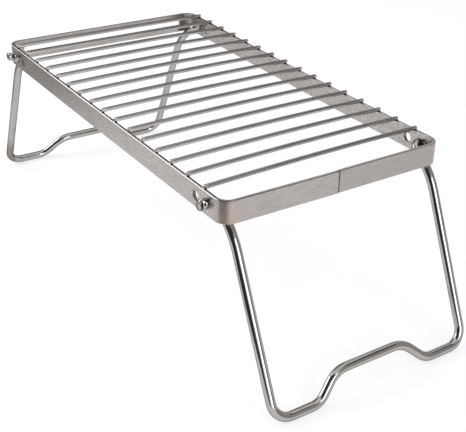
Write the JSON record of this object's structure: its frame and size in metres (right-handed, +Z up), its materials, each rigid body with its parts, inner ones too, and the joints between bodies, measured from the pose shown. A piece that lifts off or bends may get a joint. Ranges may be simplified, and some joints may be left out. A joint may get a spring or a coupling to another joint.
{
  "type": "folding campfire grate",
  "caption": "Low steel camp cooking grate: a rounded strip frame with cross wires on top and two bent-rod legs that fold in under it.",
  "frame": {"origin": "on the ground, under the middle of the frame", "axes": "+X along the frame towards its seam end, with the slotted end at -X; +Y across the frame along the wires; +Z up"},
  "size_m": [0.5564, 0.24, 0.1742],
  "materials": {
    "strip_steel": "satin",
    "wire_steel": "satin",
    "leg_steel": "polished"
  },
  "bodies": {
    "frame": {"frame_strip": "strip_steel", "wire_01": "wire_steel", "wire_02": "wire_steel", "wire_03": "wire_steel", "wire_04": "wire_steel", "wire_05": "wire_steel", "wire_06": "wire_steel", "wire_07": "wire_steel", "wire_08": "wire_steel", "wire_09": "wire_steel", "wire_10": "wire_steel", "wire_11": "wire_steel", "wire_12": "wire_steel", "wire_13": "wire_steel", "wire_14": "wire_steel", "wire_15": "wire_steel", "wire_16": "wire_steel"},
    "leg_at_seam_end": {"seam_end_leg": "leg_steel"},
    "leg_at_slot_end": {"slot_end_leg": "leg_steel"}
  },
  "joints": [
    {"name": "seam_end_leg_fold", "type": "hinge", "parent": "frame", "child": "leg_at_seam_end", "pos_m": [0.186, 0, 0.16], "axis": [0, 1, 0], "range_deg": [0, 121]},
    {"name": "slot_end_leg_fold", "type": "hinge", "parent": "frame", "child": "leg_at_slot_end", "pos_m": [-0.186, 0, 0.16], "axis": [0, -1, 0], "range_deg": [0, 121]}
  ]
}
